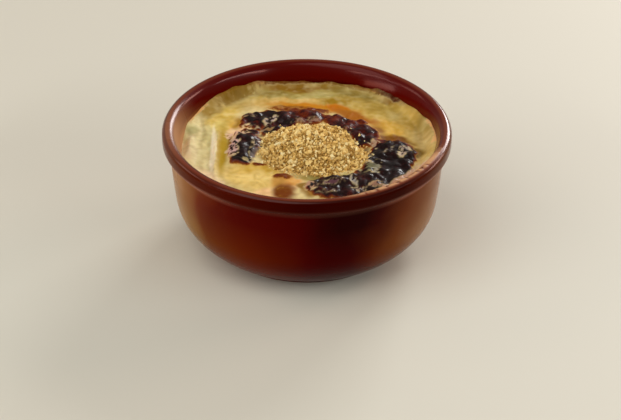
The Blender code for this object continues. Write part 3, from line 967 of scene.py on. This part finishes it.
def lay_crust_and_sheen(bowl_object):
    points = np.array([v.co for v in bowl_object.data.vertices]) / MM
    around = np.arctan2(points[:, 1], points[:, 0])
    radius = np.hypot(points[:, 0], points[:, 1])
    inside = ease((BOWL_HEIGHT - points[:, 2]) / 2.0) * (radius < inner_radius(points[:, 2]) + 0.6)
    # Where the film reaches the crest it is a broad painted highlight; on the left wall it is partly painted
    # reflection of the pudding.
    smooth = bumps(around, FILM_AND_SHEEN) * (0.35 + 0.65 * inside) * (radius < RIM_RADIUS - 1.4) * (points[:, 2] > 36)
    along = RIM_RADIUS * around
    spots = rough(along, points[:, 2] * 1.5, 1.7, 30.1) + 0.5 * rough(along, radius, 4.0, 2.3)
    on_lip = ease((points[:, 2] - 45.5) / 1.0) * ease((58.3 - radius) / 0.8)
    lumps = ease(1.1 * spots + 0.9) * ease(bumps(around, CRUST) * 2.0) * on_lip
    keep_field(bowl_object.data, "film_and_sheen", np.maximum(smooth, lumps))
    keep_field(bowl_object.data, "outside", ease((radius - inner_radius(points[:, 2]) - 1.0) / 1.2))
    away = 1 - 0.35 * lumps / np.maximum(radius, 1.0)
    points[:, 0] *= away
    points[:, 1] *= away
    points[:, 2] += 0.3 * lumps * (np.abs(points[:, 2] - BOWL_HEIGHT) < 2.0)
    bowl_object.data.vertices.foreach_set("co", (points * MM).astype(np.float32).ravel())
    bowl_object.data.update()
    print("share of the bowl's points under the crust:", round(float((lumps > 0.3).mean()), 3))


lay_crust_and_sheen(bowl)

# %% [markdown]
# ## The pudding's body
#
# The sculpted skin is closed below by rings that follow the bowl's inner wall, pressed 0.4 mm into it so
# that no gap shows. The fields that colour the skin are kept on the mesh as attributes, which a material
# can read.

# %% Build the pudding's mesh
def edge_out(x, y, z, share):
    """Moves the skin's edge outwards with the wall, which flares where the skin climbs it."""
    radius = np.maximum(np.hypot(x, y), 1e-6)
    outwards = (inner_radius(z) + OVERLAP - skin_radius) * share**24
    return x * (1 + outwards / radius), y * (1 + outwards / radius)


def close_below(points, faces, border, rings):
    """Adds rings (radius, z) below a disc's border and a middle point, and the faces between them."""
    points = points.tolist()
    angles = [math.atan2(points[i][1], points[i][0]) for i in border]
    count, last = len(border), list(border)
    for radius, z in rings:
        ring = list(range(len(points), len(points) + count))
        points.extend((radius * math.cos(a), radius * math.sin(a), z) for a in angles)
        faces.extend((last[i], last[i - 1], ring[i - 1], ring[i]) for i in range(count))
        last = ring
    points.append((0.0, 0.0, rings[-1][1]))
    faces.extend((last[i], last[i - 1], len(points) - 1) for i in range(count))
    return points, faces


def make_pudding():
    z = PUDDING_LEVEL + height
    x, y = edge_out(skin_x, skin_y, z, np.hypot(share_x, share_y))
    levels = (PUDDING_LEVEL - 2.0, 36.0, 24.0, 14.0, 8.0, FLOOR_HEIGHT - 0.2)
    rings = [(float(inner_radius(level)) + OVERLAP, level) for level in levels]
    top = np.stack([x, y, z], axis=1)
    points, faces = close_below(top, grid_faces(SKIN_CELLS), grid_border(SKIN_CELLS), rings)
    mesh = mesh_of("set pudding", points, faces)
    keep_field(mesh, "toast", toast)
    keep_colours(mesh, "skin_colour", skin_colours)
    keep_colours(mesh, "torn_skin_and_glints", np.vstack([overlay_colours, (0.1, 0.1, 0.1, 0.0)]))
    mesh.shade_smooth()
    return new_object("set_pudding", mesh)


pudding = make_pudding()
face_outwards(pudding)

# %% [markdown]
# ## The baked skin
#
# Baked milk skin is matt to satin where it is pale and shiny where its sugar has burnt. The shader starts
# from the skin's colours, kept on the mesh with their painted shade and highlights, and moves to a ramp of
# toasting, from gold through red-brown to black, as the toasting field says. Noise of two sizes pushes that
# field up and down, so no edge is even. The torn skin and the painted glints go on top, and light scatters a
# little way into it all, as it does in any milk dish.

# %% Make the baked skin
TOAST_STOPS = [
    (0.28, "c08a3c"),
    (0.40, "94581e"),
    (0.50, "763c10"),
    (0.60, "6a280a"),
    (0.70, "54180c"),
    (0.80, "30100e"),
    (0.90, "1e0b0a"),
    (1.00, "120706"),
]


def make_skin():
    material, tree, shader = new_material("baked milk skin")
    place = add(tree, "ShaderNodeTexCoord").outputs["Object"]
    toast_here = add(tree, "ShaderNodeAttribute", attribute_name="toast").outputs["Fac"]
    own = add(tree, "ShaderNodeAttribute", attribute_name="skin_colour").outputs["Color"]
    # Mottling 4 mm and 0.9 mm wide.
    wide = {"Vector": place, "Scale": 1 / (4 * MM), "Detail": 3.0}
    wide = add(tree, "ShaderNodeTexNoise", wide).outputs["Fac"]
    fine = {"Vector": place, "Scale": 1 / (0.9 * MM), "Detail": 2.0}
    fine = add(tree, "ShaderNodeTexNoise", fine).outputs["Fac"]
    patchy = {"Value": wide, "From Min": 0.45, "From Max": 0.8, "To Max": 0.3}
    patchy = add(tree, "ShaderNodeMapRange", patchy).outputs[0]
    light = {0: patchy, 6: own, 7: colour("a88020")}
    light = add(tree, "ShaderNodeMix", light, data_type="RGBA")
    # The mottling pushes the toasting up and down.
    sway = {"Value": wide, "From Min": 0.3, "From Max": 0.7, "To Min": -0.13, "To Max": 0.11}
    sway = add(tree, "ShaderNodeMapRange", sway, clamp=False)
    ripple = {"Value": fine, "From Min": 0.3, "From Max": 0.7, "To Min": -0.06, "To Max": 0.06}
    ripple = add(tree, "ShaderNodeMapRange", ripple, clamp=False)
    both = add(tree, "ShaderNodeMath", {0: sway.outputs[0], 1: ripple.outputs[0]}, operation="ADD").outputs[0]
    toasted = add(tree, "ShaderNodeMath", {0: toast_here, 1: both}, operation="ADD").outputs[0]
    burnt = set_stops(add(tree, "ShaderNodeValToRGB", {"Fac": toasted}), TOAST_STOPS)
    done = add(tree, "ShaderNodeMapRange", {"Value": toasted, "From Min": 0.16, "From Max": 0.42}).outputs[0]
    skin = add(tree, "ShaderNodeMix", {0: done, 6: light.outputs[2], 7: burnt}, data_type="RGBA").outputs[2]
    # Pale torn skin and painted glints lie on top of the scorched patches.
    overlay_here = add(tree, "ShaderNodeAttribute", attribute_name="torn_skin_and_glints").outputs
    top = {0: overlay_here["Alpha"], 6: skin, 7: overlay_here["Color"]}
    top = add(tree, "ShaderNodeMix", top, data_type="RGBA").outputs[2]
    tree.links.new(top, shader.inputs["Base Color"])
    # Burnt sugar is a glassy coat, in patches.
    glassy = {"Value": toasted, "From Min": 0.45, "From Max": 0.85, "To Max": 0.4}
    glassy = add(tree, "ShaderNodeMapRange", glassy).outputs[0]
    patch = add(tree, "ShaderNodeMapRange", {"Value": wide, "From Min": 0.40, "From Max": 0.60}).outputs[0]
    coat = add(tree, "ShaderNodeMath", {0: glassy, 1: patch}, operation="MULTIPLY").outputs[0]
    tree.links.new(coat, shader.inputs["Coat Weight"])
    pores = {"Vector": place, "Scale": 1 / (0.6 * MM), "Detail": 2.0}
    pores = add(tree, "ShaderNodeTexNoise", pores).outputs["Fac"]
    bump = add(tree, "ShaderNodeBump", {"Height": pores, "Distance": 0.06 * MM, "Strength": 0.4})
    tree.links.new(bump.outputs["Normal"], shader.inputs["Normal"])
    shader.inputs["Roughness"].default_value = 0.55
    shader.inputs["Specular IOR Level"].default_value = 0.06
    shader.inputs["Coat Roughness"].default_value = 0.18
    shader.inputs["Coat Tint"].default_value = colour("fff0e6")
    shader.inputs["Subsurface Weight"].default_value = 0.12
    shader.inputs["Subsurface Radius"].default_value = (1.0, 0.6, 0.3)
    shader.inputs["Subsurface Scale"].default_value = 0.8 * MM
    return material


skin_material = make_skin()
pudding.data.materials.append(skin_material)
print("made", skin_material.name)

# %% [markdown]
# ## The heap of ground hazelnuts
#
# A heap of crumbs is thousands of separate bits, but only the outer ones show. So a lumpy core fills the
# heap, and three layers of loose crumbs lie over it: fine meal close on the core, larger crumbs on that,
# and a few that have rolled off onto the skin. The core takes its middle, its height and its size from the
# frame.

# %% Build the heap's core
HEAP_CELLS = 84
CORE_INSET = 0.5


def make_heap_core():
    share_x, share_y = disc_grid(HEAP_CELLS)
    share = np.hypot(share_x, share_y)
    angle = np.arctan2(share_y, share_x)
    outline = heap_outline(angle)
    x, y = HEAP_X + share_x * outline, HEAP_Y + share_y * outline
    top = HEAP_TOP - PUDDING_LEVEL - CORE_INSET - 0.4
    z = PUDDING_LEVEL - 0.3 + (top + 0.3) * (1 - share**1.6)
    clumps = 0.7 * rough(x, y, 6.0, 1.1) - 0.9 * np.abs(rough(x, y, 3.0, 3.6)) + 0.3 * rough(x, y, 1.4, 2.2)
    z += (clumps + 0.2) * ease((1 - share) * 6)
    points = np.stack([x - HEAP_X, y - HEAP_Y, z], axis=1)
    border = grid_border(HEAP_CELLS)
    rings = [(HEAP_RADIUS * 0.5, PUDDING_LEVEL - 1.2)]
    points, faces = close_below(points, grid_faces(HEAP_CELLS), border, rings)
    points = np.array(points) + (HEAP_X, HEAP_Y, 0.0)
    mesh = mesh_of("heap core", points, faces)
    mesh.shade_smooth()
    return new_object("nut_heap_core", mesh)


heap_core = make_heap_core()
face_outwards(heap_core)

# %% [markdown]
# ## The crumbs
#
# Ground nuts are angular chips, so each kind of crumb is the hull of a few random points, a little
# flattened. A Geometry Nodes tree spreads them over a surface no closer than their spacing, turns and
# sizes each at random, and gives each a tint of its own. A field on the surface says how thickly they lie.

# %% Make the kinds of crumb
def make_crumb(name, draw):
    """One angular chip about 1 m across, to be scaled down where it is scattered."""
    shape = bmesh.new()
    flatness = draw.uniform(0.45, 0.8)
    length = draw.uniform(0.9, 1.3)
    for _ in range(11):
        direction = Vector([draw.gauss(0, 1) for _ in range(3)]).normalized() * draw.uniform(0.42, 0.55)
        shape.verts.new((direction.x * length, direction.y, direction.z * flatness))
    hull = bmesh.ops.convex_hull(shape, input=shape.verts)
    unused = [v for v in hull["geom_interior"] if isinstance(v, bmesh.types.BMVert)]
    bmesh.ops.delete(shape, geom=unused, context="VERTS")
    mesh = bpy.data.meshes.new(name)
    shape.to_mesh(mesh)
    shape.free()
    return bpy.data.objects.new(name, mesh)


crumb_kinds = bpy.data.collections.new("kinds of crumb")
crumb_draw = random.Random(5)
for kind in range(6):
    crumb_kinds.objects.link(make_crumb(f"crumb kind {kind}", crumb_draw))

# %% Build the scattering tree
def make_scattering_tree():
    sockets = {
        "Kinds": ("NodeSocketCollection", None),
        "Spacing": ("NodeSocketFloat", 1.0 * MM),
        "Smallest": ("NodeSocketFloat", 0.8 * MM),
        "Largest": ("NodeSocketFloat", 1.8 * MM),
        "Lift": ("NodeSocketFloat", 0.2 * MM),
        "Seed": ("NodeSocketInt", 1),
        "Material": ("NodeSocketMaterial", None),
    }
    tree, given, result = new_geometry_tree("scatter crumbs", sockets)
    thickly = add(tree, "GeometryNodeInputNamedAttribute", {"Name": "crumbs"}, data_type="FLOAT").outputs[0]
    spread = {
        "Mesh": given["Geometry"],
        "Distance Min": given["Spacing"],
        "Density Max": 3.0e6,
        "Density Factor": thickly,
        "Seed": given["Seed"],
    }
    spread = add(tree, "GeometryNodeDistributePointsOnFaces", spread, distribute_method="POISSON")
    kinds = {"Collection": given["Kinds"], "Separate Children": True, "Reset Children": True}
    kinds = add(tree, "GeometryNodeCollectionInfo", kinds).outputs[0]
    # Random Value keeps a pair of sockets for each type: 0 and 1 are the vectors, 2 and 3 the numbers.
    turn = {0: (0.0, 0.0, 0.0), 1: (math.tau, math.tau, math.tau), "Seed": given["Seed"]}
    turn = add(tree, "FunctionNodeRandomValue", turn, data_type="FLOAT_VECTOR").outputs[0]
    even = {2: 0.0, 3: 1.0, "Seed": given["Seed"]}
    even = add(tree, "FunctionNodeRandomValue", even, data_type="FLOAT").outputs[1]
    # Squaring the draw makes small crumbs common and large ones rare.
    rare = add(tree, "ShaderNodeMath", {0: even, 1: 2.0}, operation="POWER").outputs[0]
    size = {"Value": rare, "To Min": given["Smallest"], "To Max": given["Largest"]}
    size = add(tree, "ShaderNodeMapRange", size).outputs[0]
    lift = {0: spread.outputs["Normal"], "Scale": given["Lift"]}
    lift = add(tree, "ShaderNodeVectorMath", lift, operation="SCALE")
    raised = {"Geometry": spread.outputs["Points"], "Offset": lift.outputs[0]}
    raised = add(tree, "GeometryNodeSetPosition", raised).outputs[0]
    placed = {"Points": raised, "Instance": kinds, "Pick Instance": True, "Rotation": turn, "Scale": size}
    placed = add(tree, "GeometryNodeInstanceOnPoints", placed).outputs[0]
    tint = {2: 0.0, 3: 1.0, "Seed": 77}
    tint = add(tree, "FunctionNodeRandomValue", tint, data_type="FLOAT").outputs[1]
    tinted = {"Geometry": placed, "Name": "tint", "Value": tint}
    tinted = add(tree, "GeometryNodeStoreNamedAttribute", tinted, data_type="FLOAT", domain="INSTANCE")
    real = add(tree, "GeometryNodeRealizeInstances", {"Geometry": tinted.outputs[0]}).outputs[0]
    painted = {"Geometry": real, "Material": given["Material"]}
    painted = add(tree, "GeometryNodeSetMaterial", painted).outputs[0]
    tree.links.new(painted, result["Geometry"])
    return tree


scattering_tree = make_scattering_tree()
print("tree:", scattering_tree.name, "with", len(scattering_tree.nodes), "nodes")

# %% [markdown]
# ## The nuts' finish
#
# Ground hazelnut is dry and matt. Most crumbs are pale cream to tan flesh, some are toasted darker, and a
# few are flakes of the brown skin. Each crumb's own tint picks its colour from a ramp with those shares.

# %% Make the ground hazelnut
def make_nut(name, stops):
    material, tree, shader = new_material(name)
    place = add(tree, "ShaderNodeTexCoord").outputs["Object"]
    tint = add(tree, "ShaderNodeAttribute", attribute_name="tint").outputs["Fac"]
    grain = {"Vector": place, "Scale": 1 / (0.8 * MM), "Detail": 2.0}
    grain = add(tree, "ShaderNodeTexNoise", grain).outputs["Fac"]
    sway = {"Value": grain, "From Min": 0.3, "From Max": 0.7, "To Min": -0.12, "To Max": 0.12}
    sway = add(tree, "ShaderNodeMapRange", sway).outputs[0]
    mixed = add(tree, "ShaderNodeMath", {0: tint, 1: sway}, operation="ADD").outputs[0]
    picked = add(tree, "ShaderNodeValToRGB", {"Fac": mixed})
    tree.links.new(set_stops(picked, stops), shader.inputs["Base Color"])
    shader.inputs["Roughness"].default_value = 0.7
    shader.inputs["Specular IOR Level"].default_value = 0.15
    bump = add(tree, "ShaderNodeBump", {"Height": grain, "Distance": 0.08 * MM, "Strength": 0.5})
    tree.links.new(bump.outputs["Normal"], shader.inputs["Normal"])
    return material


NUT_STOPS = [(0.0, "9a7030"), (0.10, "c49a4c"), (0.30, "e6c06e"), (0.65, "f2d286"), (1.0, "faeab0")]
nut_material = make_nut("ground hazelnut", NUT_STOPS)
meal_material = make_nut("fine hazelnut meal", [(0.0, "9e7838"), (0.4, "d0aa5a"), (1.0, "ecc87e")])
# The meal in the heap's core is darker than the crumbs over it: painted shade for the gaps between them.
core_material = make_nut("hazelnut meal in the heap", [(0.0, "8e6a2c"), (1.0, "b89048")])
heap_core.data.materials.append(core_material)
keep_field(heap_core.data, "tint", [], fill=0.5)
print("made", nut_material.name)

# %% Scatter the crumbs over the heap and round it
def scatter_crumbs(name, surface, material, **values):
    values = {"Kinds": crumb_kinds, "Material": material, **values}
    mesh = run_tree(surface, scattering_tree, values)
    mesh.name = name
    obj = new_object(name, mesh)
    print(f"{name}: {len(mesh.polygons)} faces")
    return obj


core_z = np.array([v.co.z for v in heap_core.data.vertices]) / MM
keep_field(heap_core.data, "crumbs", ease((core_z - PUDDING_LEVEL + 0.4) / 0.3))
large = {"Spacing": 1.2 * MM, "Smallest": 1.4 * MM, "Largest": 3.1 * MM, "Seed": 3}
crumbs = scatter_crumbs("nut_crumbs", heap_core, nut_material, **large)
small = {"Spacing": 0.75 * MM, "Smallest": 0.7 * MM, "Largest": 1.5 * MM, "Seed": 4}
meal = scatter_crumbs("fine_nut_crumbs", heap_core, meal_material, **small)
near_heap = ease(1 - from_heap / 4.0) * (from_heap > -2.5) * (1 - 0.7 * ease((skin_y - 6) / 6))
keep_field(pudding.data, "crumbs", 0.3 * near_heap**2.5)
rolled = {"Spacing": 0.9 * MM, "Smallest": 0.8 * MM, "Largest": 2.0 * MM, "Seed": 8}
loose = scatter_crumbs("loose_nut_crumbs", pudding, nut_material, **rolled)
for kind in list(crumb_kinds.objects):
    bpy.data.objects.remove(kind)
bpy.data.collections.remove(crumb_kinds)

# %% [markdown]
# ## Floor, light and camera
#
# A plain pale floor and broad, soft lights, as on a product table. A glossy bowl shows its lights as much
# as its own colour, so they are placed for their reflections. The window behind glints on the skin and
# draws the bright line along the lip, the two strips draw the soft lines inside the back of the rim, and
# the key gives most of the light.

# %% Build the floor
def make_floor():
    material, tree, shader = new_material("matt off-white table")
    shader.inputs["Base Color"].default_value = colour("d6d2c2")
    shader.inputs["Roughness"].default_value = 0.6
    mesh = bpy.data.meshes.new("table")
    shape = bmesh.new()
    bmesh.ops.create_grid(shape, x_segments=1, y_segments=1, size=3.0)
    shape.to_mesh(mesh)
    shape.free()
    mesh.materials.append(material)
    return new_object("table", mesh)


floor = make_floor()
print("floor", [round(s, 1) for s in floor.dimensions], "m")

# %% Place the lights
def look_from(obj, target, azimuth, elevation, distance):
    """Puts an object round a target, azimuth 0 in front and 90 to the right, and aims its -Z axis at it."""
    a, e = math.radians(azimuth), math.radians(elevation)
    away = Vector((math.sin(a) * math.cos(e), -math.cos(a) * math.cos(e), math.sin(e)))
    obj.location = Vector(target) + away * distance
    obj.rotation_euler = (-away).to_track_quat("-Z", "Y").to_euler()


# Azimuth and elevation (degrees), distance, width and height (m), power (W), colour.
LIGHTS = {
    "window, back right": (152, 22, 1.2, 0.45, 0.40, 7.0, "ffffff"),
    "window, right": (118, 24, 1.1, 0.4, 0.25, 2.2, "ffdcd0"),
    "window, left": (-106, 30, 1.1, 0.5, 0.30, 1.1, "ffdcd0"),
    "key, front left": (-48, 58, 1.5, 1.4, 1.4, 9.8, "ffffff"),
    "left strip": (-62, 26, 1.0, 0.8, 0.085, 1.6, "ffffff"),
    "right strip": (62, 26, 1.0, 0.8, 0.08, 3.2, "ffffff"),
    "left fill": (-66, 6, 1.0, 0.5, 0.2, 2.2, "ffffff"),
}
for name, (azimuth, elevation, distance, width, tall, power, hue) in LIGHTS.items():
    lamp = bpy.data.lights.new(name, "AREA")
    lamp.shape = "RECTANGLE"
    lamp.size = width
    lamp.size_y = tall
    lamp.energy = power
    lamp.color = colour(hue)[:3]
    lamp_object = new_object(name, lamp)
    look_from(lamp_object, (0.0, 0.0, BOWL_HEIGHT * MM), azimuth, elevation, distance)
world = bpy.data.worlds.new("soft room")
world.use_nodes = True
world.node_tree.nodes["Background"].inputs["Color"].default_value = colour("fffaf2")
world.node_tree.nodes["Background"].inputs["Strength"].default_value = 0.22
bpy.context.scene.world = world
bpy.context.scene.view_settings.view_transform = "Standard"
print(len(LIGHTS), "lights")

# %% Place the camera
CAMERA_ELEVATION = 31.4
CAMERA_DISTANCE = 1.0485
camera_data = bpy.data.cameras.new("camera")
camera_data.sensor_width = 36.0
camera_data.lens = 144.9
camera = new_object("camera", camera_data)
look_from(camera, (0.0, 0.0, 0.025), 0.0, CAMERA_ELEVATION, CAMERA_DISTANCE)
# It is then turned about its own axes: aimed a little below and to the right of the bowl, and rolled.
AIM_DOWN, AIM_RIGHT, ROLL = 0.635, 0.09, 0.45
own_turn = Euler([math.radians(a) for a in (-AIM_DOWN, -AIM_RIGHT, ROLL)]).to_matrix()
camera.rotation_euler = (camera.rotation_euler.to_matrix() @ own_turn).to_euler()
bpy.context.scene.camera = camera
print("camera at", [round(c, 3) for c in camera.location])

# %% [markdown]
# ## Tie the pieces to the frame
#
# Nothing here moves by itself, so every piece rides on the one body. Three pieces take the place of the
# frame's plain solids, which are hidden.

# %% Ride and replace
slots = {bowl: "bowl", pudding: "pudding", heap_core: "nuts", crumbs: "nuts", meal: "nuts", loose: "nuts"}
for piece, slot in slots.items():
    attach(piece, "root")
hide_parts("bowl")
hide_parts("pudding")
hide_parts("nut_heap")
